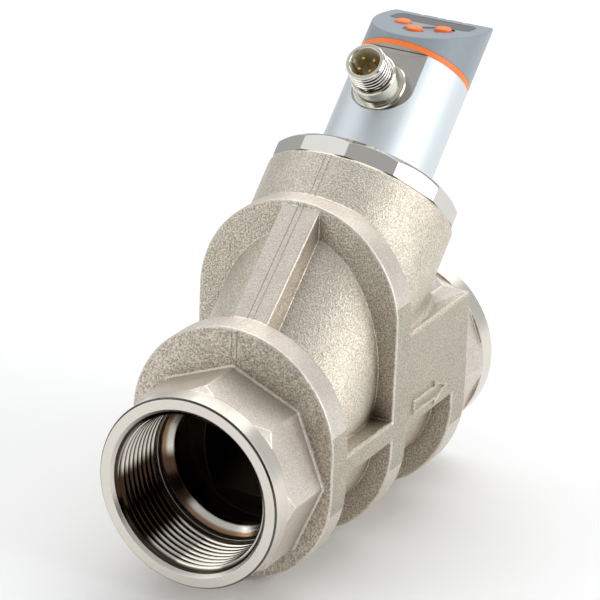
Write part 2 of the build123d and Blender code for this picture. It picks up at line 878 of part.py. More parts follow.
# Plastic insert with its coding key, and four contact pins
with BuildPart() as connector_insert:
    with BuildSketch(connector_plane(shank_start)):
        Circle(socket_radius)
    extrude(amount=socket_floor - shank_start)
    with BuildSketch(connector_plane(socket_floor)):
        with Locations((0, socket_radius - key_height / 2 - 0.15)):
            Rectangle(key_width, key_height)
    extrude(amount=socket_depth - 1.2)
    with BuildSketch(connector_plane(socket_floor)):
        with PolarLocations(pin_circle_radius, 4, start_angle=45):
            Circle(pin_radius)
    extrude(amount=shank_start - socket_floor, mode=Mode.SUBTRACT)
connector_insert.part.label = "connector_insert"
export_step(connector_insert.part, "parts/connector_insert.step")

with BuildPart() as contact_pins:
    with BuildSketch(connector_plane(shank_start - pin_tail)):
        with PolarLocations(pin_circle_radius, 4, start_angle=45):
            Circle(pin_radius)
    extrude(amount=m12_end - pin_tip_below_rim - shank_start + pin_tail)
    chamfer(contact_pins.faces().filter_by(GeomType.PLANE).group_by(
        Axis(connector_plane(0).origin, connector_plane(0).z_dir)
    )[-1].edges(), 0.2)
contact_pins.part.label = "contact_pins"
export_step(contact_pins.part, "parts/contact_pins.step")

# Circuit board in the tube, its holder and the two field sensors at its foot
holder_start = tube_start + tube_floor
board_tip_h = pocket_floor + board_tip_gap
with BuildPart() as main_board:
    with BuildSketch(connector_plane(board_m)):
        with Locations(((holder_start + board_top) / 2 - connector_h, 0)):
            Rectangle(board_top - holder_start, board_width)
        with Locations(((board_tip_h + holder_start) / 2 - connector_h, 0)):
            Rectangle(holder_start - board_tip_h, board_tip_width)
    extrude(amount=-main_board_thickness)
main_board.part.label = "main_board"
export_step(main_board.part, "parts/main_board.step")

with BuildPart() as board_holder:
    with BuildSketch(neck_plane(holder_start)):
        Circle(tube_bore_radius - holder_side_gap)
        Circle(tube_bore_radius - holder_side_gap - holder_width, mode=Mode.SUBTRACT)
        with Locations((flat_inner_m + tube_radius / 2, 0)):
            Rectangle(tube_radius, 2 * tube_radius, mode=Mode.SUBTRACT)
        with Locations((board_m - main_board_thickness / 2, 0)):
            Rectangle(main_board_thickness, board_width, mode=Mode.SUBTRACT)
    extrude(amount=holder_height)
board_holder.part.label = "board_holder"
export_step(board_holder.part, "parts/board_holder.step")

with BuildPart() as field_sensors:
    with BuildSketch(connector_plane(board_m)):
        with GridLocations(0, sensor_spacing, 1, 2):
            with Locations((board_tip_h + sensor_length / 2 - connector_h, 0)):
                Rectangle(sensor_width, sensor_length)
    extrude(amount=sensor_height)
field_sensors.part.label = "field_sensors"
export_step(field_sensors.part, "parts/field_sensors.step")

# Coloured ring between the tube and the cap
with BuildPart() as accent_ring:
    with BuildSketch(neck_plane(ring_start)):
        Circle(ring_radius)
        Circle(hub_radius, mode=Mode.SUBTRACT)
    extrude(amount=ring_height)
accent_ring.part.label = "accent_ring"
export_step(accent_ring.part, "parts/accent_ring.step")

# Places of the three buttons on the sloping face
button_places = {
    "mode_button": (button_side_u, button_side_v),
    "down_button": (button_front_u, 0),
    "up_button": (button_side_u, -button_side_v),
}


def window_outline(rise, grow):
    """Window's outline on the face plane at a rise, grown by a margin."""
    with BuildSketch(face_plane(rise)) as profile:
        with BuildLine():
            Polyline(
                (window_rear + grow, window_half_front + grow),
                (window_rear - 2 + grow, window_half_rear + grow),
                (window_front + 1.2 - grow, window_half_rear + grow),
                (window_front - grow, window_half_front + grow),
                (window_front - grow, -window_half_front - grow),
                (window_front + 1.2 - grow, -window_half_rear - grow),
                (window_rear - 2 + grow, -window_half_rear - grow),
                (window_rear + grow, -window_half_front - grow),
                close=True,
            )
        make_face()
    return profile.sketch


# Space inside the cap
with BuildPart() as cap_core:
    with BuildSketch(neck_plane(cap_start + cap_floor)):
        Circle(cap_radius - cap_wall)
    extrude(amount=cap_top - face_thickness - cap_start - cap_floor)
    split(bisect_by=face_plane(-face_thickness), keep=Keep.BOTTOM)

# Display cap with its sloping face
hub_start = tube_top - head_flange_thickness - hub_lip_gap - hub_lip_height
with BuildPart() as display_cap:
    with BuildSketch(neck_plane(cap_start)):
        Circle(cap_radius)
    extrude(amount=cap_top - cap_start)
    split(bisect_by=face_plane(0), keep=Keep.BOTTOM)
    fillet(display_cap.edges().filter_by(GeomType.ELLIPSE), face_edge_radius)
    add(cap_core.part, mode=Mode.SUBTRACT)
    with BuildSketch(neck_section()):
        with BuildLine():
            Polyline(
                (hub_bore_radius, hub_start),
                (hub_lip_radius - 0.5, hub_start),
                (hub_lip_radius, hub_start + 0.5),
                (hub_lip_radius, hub_start + hub_lip_height),
                (hub_radius, hub_start + hub_lip_height),
                (hub_radius, cap_start + 0.5),
                (hub_bore_radius, cap_start + 0.5),
                close=True,
            )
        make_face()
    revolve(axis=neck_axis())
    with BuildSketch(neck_plane(cap_start)):
        Circle(hub_bore_radius)
    extrude(amount=cap_floor, mode=Mode.SUBTRACT)
    # Window seat and opening
    extrude(window_outline(0, 0), amount=-window_thickness, mode=Mode.SUBTRACT)
    extrude(window_outline(0, -window_ledge), amount=-face_thickness, mode=Mode.SUBTRACT)
    # Oval pocket round the two arrow buttons, and the three button holes
    pair_u = (button_front_u + button_side_u) / 2
    pair_v = -button_side_v / 2
    pair_gap = hypot(button_side_u - button_front_u, button_side_v)
    pair_turn = degrees(atan2(-button_side_v, button_side_u - button_front_u))
    with BuildSketch(face_plane(0)):
        with Locations((pair_u, pair_v)):
            SlotCenterToCenter(pair_gap, 2 * groove_radius, rotation=pair_turn)
    extrude(amount=-groove_depth, mode=Mode.SUBTRACT)
    with BuildSketch(face_plane(0)):
        with Locations(*button_places.values()):
            Circle(button_radius + button_clearance)
    extrude(amount=-face_thickness, mode=Mode.SUBTRACT)
    # Posts that carry the display board
    with BuildSketch(face_plane(-face_thickness)):
        with Locations((post_u, post_v), (post_u, -post_v)):
            Circle(post_radius)
    extrude(amount=face_thickness - board_drop)
    # Notches along the rear edge of the face
    rear_u = (cap_top - face_h) / sin(tilt)
    with BuildSketch(face_plane(0)):
        with Locations(*[(rear_u, v) for v in notch_places]):
            Rectangle(2 * notch_depth, notch_width)
    extrude(amount=-notch_depth, mode=Mode.SUBTRACT)
display_cap.part.label = "display_cap"
export_step(display_cap.part, "parts/display_cap.step")

# Window plate in its seat
with BuildPart() as display_window:
    extrude(window_outline(-window_thickness, -0.05), amount=window_thickness - 0.05)
display_window.part.label = "display_window"
export_step(display_window.part, "parts/display_window.step")

# Display board with the module, status lamps and key mat
board_rear = post_u + post_radius + 0.1
with BuildPart() as display_board:
    with BuildSketch(face_plane(-board_drop)):
        with Locations(((board_rear + board_front) / 2, 0)):
            Rectangle(board_rear - board_front, display_board_front_width)
        with Locations(((board_rear + button_side_u) / 2, 0)):
            Rectangle(board_rear - button_side_u, display_board_width)
    extrude(amount=-board_thickness)
display_board.part.label = "display_board"
export_step(display_board.part, "parts/display_board.step")

module_front = window_front + window_ledge + 0.2
module_rear = window_rear - window_ledge - 1.6
with BuildPart() as display_module:
    with BuildSketch(face_plane(-board_drop)):
        with Locations(((module_front + module_rear) / 2, 0)):
            Rectangle(module_rear - module_front, module_width)
    extrude(amount=module_height)
display_module.part.label = "display_module"
export_step(display_module.part, "parts/display_module.step")

with BuildPart() as status_lamps:
    with BuildSketch(face_plane(-board_drop)):
        with Locations(*[(window_rear - window_ledge - 0.7, v) for v in lamp_places]):
            Rectangle(lamp_width, lamp_length)
    extrude(amount=module_height)
status_lamps.part.label = "status_lamps"
export_step(status_lamps.part, "parts/status_lamps.step")

with BuildPart() as button_mat:
    with BuildSketch(face_plane(-board_drop)):
        with Locations(((board_front + window_front) / 2, 0)):
            Rectangle(window_front - board_front - 0.6, module_width)
    extrude(amount=mat_thickness)
button_mat.part.label = "button_mat"
export_step(button_mat.part, "parts/button_mat.step")

# Three domed buttons, held by a flange under the face
for button_name, place in button_places.items():
    with BuildPart() as button:
        with BuildSketch(face_plane(flange_face)):
            with Locations(place):
                Circle(button_flange_radius)
        extrude(amount=-button_flange_thickness)
        with BuildSketch(face_plane(flange_face)):
            with Locations(place):
                Circle(button_radius)
        extrude(amount=button_rise - flange_face)
        fillet(
            button.edges().filter_by(GeomType.CIRCLE).sort_by(
                Axis(face_plane(0).origin, face_plane(0).z_dir)
            )[-1],
            button_rise,
        )
    button.part.label = button_name
    export_step(button.part, f"parts/{button_name}.step")
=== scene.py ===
"""Studio scene of an inline flow sensor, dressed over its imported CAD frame.

Metres throughout. The origin is the centre of the inlet face, +X runs with the flow
and +Z is up. Heights h are measured up the slanted neck from the point where its axis
crosses the flow axis, and d outwards from the neck's axis along the connector.
"""

import json
import logging
import math
from dataclasses import dataclass, field, replace
from enum import Enum

import bpy
from mathutils import Matrix, Vector

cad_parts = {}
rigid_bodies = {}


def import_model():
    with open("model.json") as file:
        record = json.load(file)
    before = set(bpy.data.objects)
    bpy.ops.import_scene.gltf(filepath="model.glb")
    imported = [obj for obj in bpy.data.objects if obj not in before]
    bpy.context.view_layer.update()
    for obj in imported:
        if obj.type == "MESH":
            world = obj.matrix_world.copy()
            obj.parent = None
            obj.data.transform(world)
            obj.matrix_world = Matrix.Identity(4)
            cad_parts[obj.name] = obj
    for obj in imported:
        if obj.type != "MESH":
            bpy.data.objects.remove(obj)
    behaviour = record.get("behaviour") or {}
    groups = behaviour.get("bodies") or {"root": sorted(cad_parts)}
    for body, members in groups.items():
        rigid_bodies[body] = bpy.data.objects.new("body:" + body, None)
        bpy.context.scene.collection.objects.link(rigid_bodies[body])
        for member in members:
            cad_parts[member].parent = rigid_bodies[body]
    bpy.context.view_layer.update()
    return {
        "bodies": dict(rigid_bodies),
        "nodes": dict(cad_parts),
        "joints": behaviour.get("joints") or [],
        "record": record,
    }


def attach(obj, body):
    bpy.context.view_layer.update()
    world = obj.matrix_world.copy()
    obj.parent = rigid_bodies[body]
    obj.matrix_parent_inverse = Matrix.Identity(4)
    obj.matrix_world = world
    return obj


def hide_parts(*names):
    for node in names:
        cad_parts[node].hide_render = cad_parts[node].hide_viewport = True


MM = 0.001
LOG = logging.getLogger("flow_sensor")
# Most values of a noise lie in this range.
NOISE_RANGE = (0.3, 0.7)
BEVEL_SAMPLES = 6
CAST_BEVEL_SAMPLES = 8
SKY_SAMPLES = 6
# Cosine above which a face looks in a direction, and distance at which it lies on a surface.
FACING = 0.9
NEAR = 0.05 * MM
# Angle in degrees above which a thread's edges stay sharp.
THREAD_CREASE = 60.0

Point = tuple[float, float, float]
Shape = tuple[list[Point], list[tuple[int, ...]]]


class LatheAxis(Enum):
    """Axis that a turned or round surface was made about."""

    FLOW = "flow"
    NECK = "neck"
    CONNECTOR = "connector"


class Zone(Enum):
    """Kind of surface on the valve body, by how it was made; some zones also carry painted shade or a
    painted dark reflection.
    """

    CAST = 0
    TURNED = 1
    INNER = 2
    SHOULDER = 3
    CORNER = 4
    CROWN = 5
    WEB = 6
    PAD = 7
    WALL = 8


@dataclass(frozen=True)
class NeckFrame:
    """Directions and places along the slanted neck and its connector."""

    cross_x: float = 40.0 * MM
    angle: float = math.radians(45.0)
    connector_h: float = 109.0 * MM

    @property
    def up(self) -> Vector:
        """Direction up the neck."""
        return Vector((math.cos(self.angle), 0, math.sin(self.angle)))

    @property
    def out(self) -> Vector:
        """Direction across the neck, out through the connector."""
        return Vector((-math.sin(self.angle), 0, math.cos(self.angle)))

    def place(self, h: float, d: float = 0.0) -> Vector:
        """Point at height h and distance d in the plane Y = 0."""
        return Vector((self.cross_x, 0, 0)) + self.up * h + self.out * d

    def connector(self, d: float) -> Matrix:
        """Frame across the connector at distance d, with its z outwards."""
        return frame_matrix(self.place(self.connector_h, d), self.up, self.out)


def frame_matrix(origin: Vector, x_axis: Vector, z_axis: Vector) -> Matrix:
    """Builds a right-handed frame.

    Args:
        origin: the frame's origin.
        x_axis: its x direction, of length one.
        z_axis: its z direction, of length one and square to x_axis.

    Returns:
        The 4 by 4 matrix that takes the frame's coordinates to the object's.
    """
    y_axis = z_axis.cross(x_axis)
    rows = zip(x_axis, y_axis, z_axis, origin)
    return Matrix([list(row) for row in rows] + [[0, 0, 0, 1]])


NECK = NeckFrame()


def linear(colour: str) -> tuple[float, float, float, float]:
    """Turns an sRGB hex colour to linear.

    Args:
        colour: a colour such as "#C8BFB0".

    Returns:
        Linear red, green, blue and an alpha of one.
    """
    channels = [int(colour[i : i + 2], 16) / 255 for i in (1, 3, 5)]
    red, green, blue = (
        c / 12.92 if c <= 0.04045 else ((c + 0.055) / 1.055) ** 2.4 for c in channels
    )
    return red, green, blue, 1.0


def add_node(tree: bpy.types.NodeTree, kind: str, settings: dict | None = None,
             inputs: dict | None = None) -> bpy.types.Node:
    """Adds one shader node.

    Args:
        tree: the node tree it goes into.
        kind: Blender's name of the node type.
        settings: the node's own properties.
        inputs: socket name or number, with a constant or the output that feeds it.

    Returns:
        The new node.
    """
    node = tree.nodes.new(kind)
    for key, value in (settings or {}).items():
        setattr(node, key, value)
    for key, value in (inputs or {}).items():
        if isinstance(value, bpy.types.NodeSocket):
            tree.links.new(value, node.inputs[key])
        else:
            node.inputs[key].default_value = value
    return node


def lathe_coordinates(tree: bpy.types.NodeTree, axis: LatheAxis) -> bpy.types.NodeSocket:
    """Object coordinates turned so that a lathe axis lies along z.

    Args:
        tree: the node tree to add to.
        axis: the axis that the surface was turned about.

    Returns:
        The vector output.
    """
    turns = {
        LatheAxis.FLOW: (0.0, -math.pi / 2, 0.0),
        LatheAxis.NECK: (0.0, -NECK.angle, 0.0),
        LatheAxis.CONNECTOR: (0.0, math.pi / 2 - NECK.angle, 0.0),
    }
    starts = {
        LatheAxis.FLOW: Vector((0, 0, 0)),
        LatheAxis.NECK: NECK.place(0),
        LatheAxis.CONNECTOR: NECK.place(NECK.connector_h),
    }
    where = add_node(tree, "ShaderNodeTexCoord")
    moved = add_node(tree, "ShaderNodeVectorMath", {"operation": "SUBTRACT"},
                     {0: where.outputs["Object"], 1: starts[axis]})
    turned = add_node(tree, "ShaderNodeVectorRotate", {"rotation_type": "EULER_XYZ"},
                      {"Vector": moved.outputs[0], "Rotation": turns[axis]})
    return turned.outputs[0]


@dataclass(frozen=True)
class Finish:
    """One surface finish, built as a node material the first time it is used."""

    name: str

    def material(self) -> bpy.types.Material:
        """The finish's material, made once."""
        return bpy.data.materials.get(self.name) or self.build()

    def build(self) -> bpy.types.Material:
        """Makes the material."""
        raise NotImplementedError

    def start(self, **constants: float | tuple) -> tuple[bpy.types.Material, bpy.types.NodeTree,
                                                         bpy.types.Node]:
        """Starts a material with one principled shader.

        Args:
            constants: values for the shader's sockets, with _ for a space in their names.

        Returns:
            The material, its node tree and the shader.
        """
        material = bpy.data.materials.new(self.name)
        material.use_nodes = True
        tree = material.node_tree
        shader = tree.nodes["Principled BSDF"]
        for key, value in constants.items():
            shader.inputs[key.replace("_", " ")].default_value = value
        return material, tree, shader


@dataclass(frozen=True)
class SandCastNickel(Finish):
    """Nickel-plated brass, sand cast and blasted: dull, warm grey, with a fine grain.

    The sand's grain is about 0.3 mm and is drawn coarser, to show at the picture's size.
    """

    name: str = "sand_cast_nickel_plated_brass"
    bright: str = "#DFD8CC"
    dull: str = "#CDC2B1"
    # Painted shade: the dark brown that corners and recesses turn to.
    painted_corner_shade: str = "#6B5A44"
    corner_reach: float = 7.0 * MM
    grain: float = 0.46 * MM
    grain_height: float = 0.22 * MM
    pit_shade: tuple[float, float] = (0.7, 1.13)
    wave: float = 5.0 * MM
    wave_height: float = 0.08 * MM
    roughness: tuple[float, float] = (0.36, 0.5)
    edge_radius: float = 0.6 * MM
    # Painted highlight along rounded edges and corners.
    painted_edge_highlight: float = 1.6
    flash_half_width: float = 0.85 * MM
    flash_edge: float = 0.2 * MM
    flash_height: float = 0.1 * MM
    flash_shade: float = 0.45
    open_sky: tuple[float, float] = (0.2, 0.75)
    pit_range: tuple[float, float] = (0.38, 0.62)
    edge_flatness: float = 0.92

    def tone(self, tree: bpy.types.NodeTree, wave: bpy.types.NodeSocket) -> bpy.types.NodeSocket:
        """Colour before the grain: mottled, with painted shade darkening its corners and recesses.

        Args:
            tree: the node tree to add to.
            wave: slow noise.

        Returns:
            The colour output.
        """
        mottled = add_node(tree, "ShaderNodeMix", {"data_type": "RGBA"},
                           {"Factor": wave, "A": linear(self.dull), "B": linear(self.bright)})
        # Painted shade: where the occlusion node finds little open space, the colour turns to the
        # corners' dark brown.
        sky = add_node(tree, "ShaderNodeAmbientOcclusion",
                       {"samples": SKY_SAMPLES, "only_local": True}, {"Distance": self.corner_reach})
        unshaded_share = add_node(tree, "ShaderNodeMapRange", {},
                         {"Value": sky.outputs["AO"], "From Min": self.open_sky[0],
                          "From Max": self.open_sky[1]})
        shaded_tone = add_node(tree, "ShaderNodeMix", {"data_type": "RGBA"},
                           {"Factor": unshaded_share.outputs[0], "A": linear(self.painted_corner_shade),
                            "B": mottled.outputs["Result"]})
        return shaded_tone.outputs["Result"]

    def shade(self, tree: bpy.types.NodeTree, grain: bpy.types.NodeSocket,
              from_flash: bpy.types.NodeSocket,
              rounded: bpy.types.NodeSocket) -> bpy.types.NodeSocket:
        """Brightness of the colour: dark pits and flash edges, and a painted highlight along rounded
        edges and corners.

        Args:
            tree: the node tree to add to.
            grain: fine noise.
            from_flash: distance from the nearer edge of the parting flash.
            rounded: normal with rounded corners.

        Returns:
            The factor's output.
        """
        pits = add_node(tree, "ShaderNodeMapRange", {},
                        {"Value": grain, "From Min": self.pit_range[0],
                         "From Max": self.pit_range[1], "To Min": self.pit_shade[0],
                         "To Max": self.pit_shade[1]})
        lines = add_node(tree, "ShaderNodeMapRange", {},
                         {"Value": from_flash, "From Max": self.flash_edge,
                          "To Min": self.flash_shade})
        flatness = add_node(tree, "ShaderNodeVectorMath", {"operation": "DOT_PRODUCT"},
                            {0: rounded, 1: add_node(tree, "ShaderNodeNewGeometry").outputs["Normal"]})
        # Painted highlight: the colour brightens where the rounded normal turns from the true one, at
        # outer edges and inner corners alike.
        corners = add_node(tree, "ShaderNodeMapRange", {},
                           {"Value": flatness.outputs["Value"], "From Min": self.edge_flatness,
                            "From Max": 1.0, "To Min": self.painted_edge_highlight, "To Max": 1.0})
        marked = add_node(tree, "ShaderNodeMath", {"operation": "MULTIPLY"},
                          {0: pits.outputs[0], 1: lines.outputs[0]})
        edge_highlighted = add_node(tree, "ShaderNodeMath", {"operation": "MULTIPLY"},
                        {0: marked.outputs[0], 1: corners.outputs[0]})
        return edge_highlighted.outputs[0]

    def build(self) -> bpy.types.Material:
        """Makes the material: sand grain, a slow waviness and the mould's parting line.

        Returns:
            The new material.
        """
        material, tree, shader = self.start(Metallic=1.0)
        where = add_node(tree, "ShaderNodeTexCoord").outputs["Object"]
        grain = add_node(tree, "ShaderNodeTexNoise", {},
                         {"Vector": where, "Scale": 1 / self.grain, "Detail": 2.0, "Roughness": 0.6})
        wave = add_node(tree, "ShaderNodeTexNoise", {},
                        {"Vector": where, "Scale": 1 / self.wave, "Detail": 4.0, "Roughness": 0.5})
        rough = add_node(tree, "ShaderNodeMapRange", {},
                         {"Value": grain.outputs[0], "From Min": NOISE_RANGE[0],
                          "From Max": NOISE_RANGE[1],
                          "To Min": self.roughness[1], "To Max": self.roughness[0]})
        sides = add_node(tree, "ShaderNodeSeparateXYZ", {}, {0: where})
        off_line = add_node(tree, "ShaderNodeMath", {"operation": "ABSOLUTE"}, {0: sides.outputs["Y"]})
        past_flash = add_node(tree, "ShaderNodeMath", {"operation": "SUBTRACT"},
                              {0: off_line.outputs[0], 1: self.flash_half_width})
        from_flash = add_node(tree, "ShaderNodeMath", {"operation": "ABSOLUTE"},
                              {0: past_flash.outputs[0]})
        flash = add_node(tree, "ShaderNodeMapRange", {"interpolation_type": "SMOOTHSTEP"},
                         {"Value": past_flash.outputs[0], "From Max": self.flash_edge,
                          "To Min": 1.0, "To Max": 0.0})
        rounded = add_node(tree, "ShaderNodeBevel", {"samples": CAST_BEVEL_SAMPLES},
                           {"Radius": self.edge_radius})
        line = add_node(tree, "ShaderNodeBump", {},
                        {"Height": flash.outputs[0], "Distance": self.flash_height,
                         "Normal": rounded.outputs[0]})
        waves = add_node(tree, "ShaderNodeBump", {},
                         {"Height": wave.outputs[0], "Distance": self.wave_height,
                          "Normal": line.outputs[0]})
        grains = add_node(tree, "ShaderNodeBump", {},
                          {"Height": grain.outputs[0], "Distance": self.grain_height,
                           "Normal": waves.outputs[0]})
        shaded = add_node(tree, "ShaderNodeHueSaturation", {},
                          {"Color": self.tone(tree, wave.outputs[0]),
                           "Value": self.shade(tree, grain.outputs[0], from_flash.outputs[0],
                                               rounded.outputs[0])})
        tree.links.new(shaded.outputs[0], shader.inputs["Base Color"])
        tree.links.new(rough.outputs[0], shader.inputs["Roughness"])
        tree.links.new(grains.outputs[0], shader.inputs["Normal"])
        return material


@dataclass(frozen=True)
class TurnedMetal(Finish):
    """Metal cut on a lathe: bright, with fine rings about its axis.

    Outside outer_radius it can take a second colour, and a painted dark reflection can cover one side,
    fading over a pair of cosines.
    """

    name: str = "turned_nickel_plated_brass"
    colour: str = "#DDD7CD"
    axis: LatheAxis = LatheAxis.FLOW
    ring: float = 0.35 * MM
    ring_height: float = 0.006 * MM
    roughness: tuple[float, float] = (0.14, 0.26)
    edge_radius: float = 0.3 * MM
    outer: str = ""
    outer_radius: float = 0.0
    outer_fade: float = 0.3 * MM
    # Painted dark reflection over one side of a bore: its colour, the side it faces and its fading
    # edge.
    painted_reflection: str = ""
    reflection_towards: tuple[float, float, float] = (0.0, 0.0, 0.0)
    reflection_edge: tuple[float, float] = (0.84, 0.93)

    def build(self) -> bpy.types.Material:
        """Makes the material: rings from one noise, a colour outside a radius, and a painted dark
        reflection.

        Returns:
            The new material.
        """
        material, tree, shader = self.start(Metallic=1.0, Base_Color=linear(self.colour))
        where = lathe_coordinates(tree, self.axis)
        parts = add_node(tree, "ShaderNodeSeparateXYZ", {}, {0: where})
        flat = add_node(tree, "ShaderNodeCombineXYZ", {},
                        {0: parts.outputs[0], 1: parts.outputs[1]})
        radius = add_node(tree, "ShaderNodeVectorMath", {"operation": "LENGTH"},
                          {0: flat.outputs[0]})
        along = add_node(tree, "ShaderNodeMath", {"operation": "ADD"},
                         {0: radius.outputs["Value"], 1: parts.outputs[2]})
        rings = add_node(tree, "ShaderNodeTexNoise", {"noise_dimensions": "1D"},
                         {"W": along.outputs[0], "Scale": 1 / self.ring, "Detail": 4.0})
        rough = add_node(tree, "ShaderNodeMapRange", {},
                         {"Value": rings.outputs[0], "From Min": NOISE_RANGE[0],
                          "From Max": NOISE_RANGE[1], "To Min": self.roughness[0],
                          "To Max": self.roughness[1]})
        rounded = add_node(tree, "ShaderNodeBevel", {"samples": BEVEL_SAMPLES},
                           {"Radius": self.edge_radius})
        bump = add_node(tree, "ShaderNodeBump", {},
                        {"Height": rings.outputs[0], "Distance": self.ring_height,
                         "Normal": rounded.outputs[0]})
        if self.outer:
            share = add_node(tree, "ShaderNodeMapRange", {},
                             {"Value": radius.outputs["Value"], "From Min": self.outer_radius,
                              "From Max": self.outer_radius + self.outer_fade})
            tone = add_node(tree, "ShaderNodeMix", {"data_type": "RGBA"},
                            {"Factor": share.outputs[0], "A": linear(self.colour),
                             "B": linear(self.outer)})
            base = tone.outputs["Result"]
            if self.painted_reflection:
                base = self.add_painted_reflection(tree, flat.outputs[0], base)
            tree.links.new(base, shader.inputs["Base Color"])
        tree.links.new(rough.outputs[0], shader.inputs["Roughness"])
        tree.links.new(bump.outputs[0], shader.inputs["Normal"])
        return material

    def add_painted_reflection(self, tree: bpy.types.NodeTree, spoke: bpy.types.NodeSocket,
                 base: bpy.types.NodeSocket) -> bpy.types.NodeSocket:
        """Lays a painted dark reflection over one side of a bore.

        Args:
            tree: the node tree to add to.
            spoke: vector from the axis, square to it.
            base: the colour under the painted reflection.

        Returns:
            The colour output.
        """
        turned = add_node(tree, "ShaderNodeVectorMath", {"operation": "NORMALIZE"}, {0: spoke})
        side = add_node(tree, "ShaderNodeVectorMath", {"operation": "DOT_PRODUCT"},
                        {0: turned.outputs[0], 1: self.reflection_towards})
        share = add_node(tree, "ShaderNodeMapRange", {"interpolation_type": "SMOOTHSTEP"},
                         {"Value": side.outputs["Value"], "From Min": self.reflection_edge[0],
                          "From Max": self.reflection_edge[1]})
        return add_node(tree, "ShaderNodeMix", {"data_type": "RGBA"},
                        {"Factor": share.outputs[0], "A": base,
                         "B": linear(self.painted_reflection)}).outputs["Result"]


@dataclass(frozen=True)
class MouldedPlastic(Finish):
    """Injection-moulded plastic: even colour, soft gloss and a fine eroded grain."""

    name: str = "moulded_plastic"
    colour: str = "#8D959B"
    roughness: float = 0.42
    grain: float = 0.35 * MM
    grain_height: float = 0.012 * MM
    edge_radius: float = 0.35 * MM
    mottle: float = 4.2 * MM
    mottle_shade: tuple[float, float] = (0.94, 1.06)
    gloss_spread: float = 0.06

    def build(self) -> bpy.types.Material:
        """Makes the material: one colour with slight mottling under a fine grain.

        Returns:
            The new material.
        """
        material, tree, shader = self.start(IOR=1.5)
        where = add_node(tree, "ShaderNodeTexCoord").outputs["Object"]
        grain = add_node(tree, "ShaderNodeTexNoise", {},
                         {"Vector": where, "Scale": 1 / self.grain, "Detail": 2.0})
        mottle = add_node(tree, "ShaderNodeTexNoise", {},
                          {"Vector": where, "Scale": 1 / self.mottle, "Detail": 3.0})
        shade = add_node(tree, "ShaderNodeMapRange", {},
                         {"Value": mottle.outputs[0], "To Min": self.mottle_shade[0],
                          "To Max": self.mottle_shade[1]})
        tone = add_node(tree, "ShaderNodeHueSaturation", {},
                        {"Color": linear(self.colour), "Value": shade.outputs[0]})
        rough = add_node(tree, "ShaderNodeMapRange", {},
                         {"Value": grain.outputs[0], "To Min": self.roughness - self.gloss_spread,
                          "To Max": self.roughness + self.gloss_spread})
        rounded = add_node(tree, "ShaderNodeBevel", {"samples": BEVEL_SAMPLES},
                           {"Radius": self.edge_radius})
        bump = add_node(tree, "ShaderNodeBump", {},
                        {"Height": grain.outputs[0], "Distance": self.grain_height,
                         "Normal": rounded.outputs[0]})
        tree.links.new(tone.outputs[0], shader.inputs["Base Color"])
        tree.links.new(rough.outputs[0], shader.inputs["Roughness"])
        tree.links.new(bump.outputs[0], shader.inputs["Normal"])
        return material


@dataclass(frozen=True)
class SmokedPolycarbonate(Finish):
    """Smoked, polished polycarbonate: dark brown-grey below a glossy skin."""

    name: str = "smoked_polycarbonate"
    colour: str = "#5C4F49"
    scuff: float = 1.5 * MM
    roughness: tuple[float, float] = (0.08, 0.2)

    def build(self) -> bpy.types.Material:
        """Makes the material: a dark body with a clear coat and faint scuffs.

        Returns:
            The new material.
        """
        material, tree, shader = self.start(IOR=1.58, Coat_Weight=0.25, Coat_Roughness=0.05)
        where = add_node(tree, "ShaderNodeTexCoord").outputs["Object"]
        scuff = add_node(tree, "ShaderNodeTexNoise", {},
                         {"Vector": where, "Scale": 1 / self.scuff, "Detail": 5.0})
        tone = add_node(tree, "ShaderNodeHueSaturation", {},
                        {"Color": linear(self.colour), "Value": scuff.outputs[0]})
        rough = add_node(tree, "ShaderNodeMapRange", {},
                         {"Value": scuff.outputs[0], "To Min": self.roughness[0],
                          "To Max": self.roughness[1]})
        tree.links.new(tone.outputs[0], shader.inputs["Base Color"])
        tree.links.new(rough.outputs[0], shader.inputs["Roughness"])
        return material


# Brass castings keep a warm tone under the nickel; turned faces are brighter and cooler.
CASTING = SandCastNickel()
# Tumbling rubs what stands out most: rib crowns and wrench flats keep little of the grain,
# and the flash is dressed off them.
# Its fourth colour is a lighter painted shade for its corners, over a shorter reach.
CROWN_CASTING = SandCastNickel("rubbed_nickel_crown", "#E3DCD3", "#D3C9BD", "#B0A493", 3.0 * MM,
                               grain_height=0.13 * MM, pit_shade=(0.84, 1.07),
                               flash_height=0.02 * MM, flash_shade=0.85)
# The web's top is rubbed too, but keeps both edges of the flash.
WEB_CASTING = SandCastNickel("rubbed_nickel_web", "#DFD8CF", "#CEC3B6", grain_height=0.14 * MM,
                             pit_shade=(0.84, 1.07))
# Pads are drawn in a darker colour: painted shade on these flat side faces.
PAD_CASTING = SandCastNickel("shaded_nickel_pad", "#C6BFB0", "#B3AB9B", grain_height=0.2 * MM,
                             pit_shade=(0.72, 1.12))
# Walls across the flow keep all of the sand's grain, which is drawn coarsest on them.
WALL_CASTING = SandCastNickel("rough_nickel_wall", "#DED6C9", "#CBC0AF", grain=0.54 * MM,
                              grain_height=0.3 * MM, pit_shade=(0.6, 1.2))
# Both end rims are faced on the lathe: a satin, even silver with fine rings.
TURNED_ENDS = TurnedMetal(roughness=(0.26, 0.36))
# The rims' outer chamfers are drawn dark: a painted dark reflection that reads as thin lines.
DARK_CHAMFER = TurnedMetal("painted_dark_chamfer", "#5C5852", LatheAxis.FLOW, 0.3 * MM,
                            0.002 * MM, (0.2, 0.3), 0.1 * MM)
# Threads come sharp from the tap: their flanks mirror in stripes, and their roots are painted dark as
# shade.
CUT_THREAD = TurnedMetal("cut_nickel_thread", "#E4DED2", LatheAxis.FLOW, 0.3 * MM, 0.001 * MM,
                         (0.08, 0.14), 0.1 * MM, "#453E34", 22.7 * MM, 0.6 * MM)
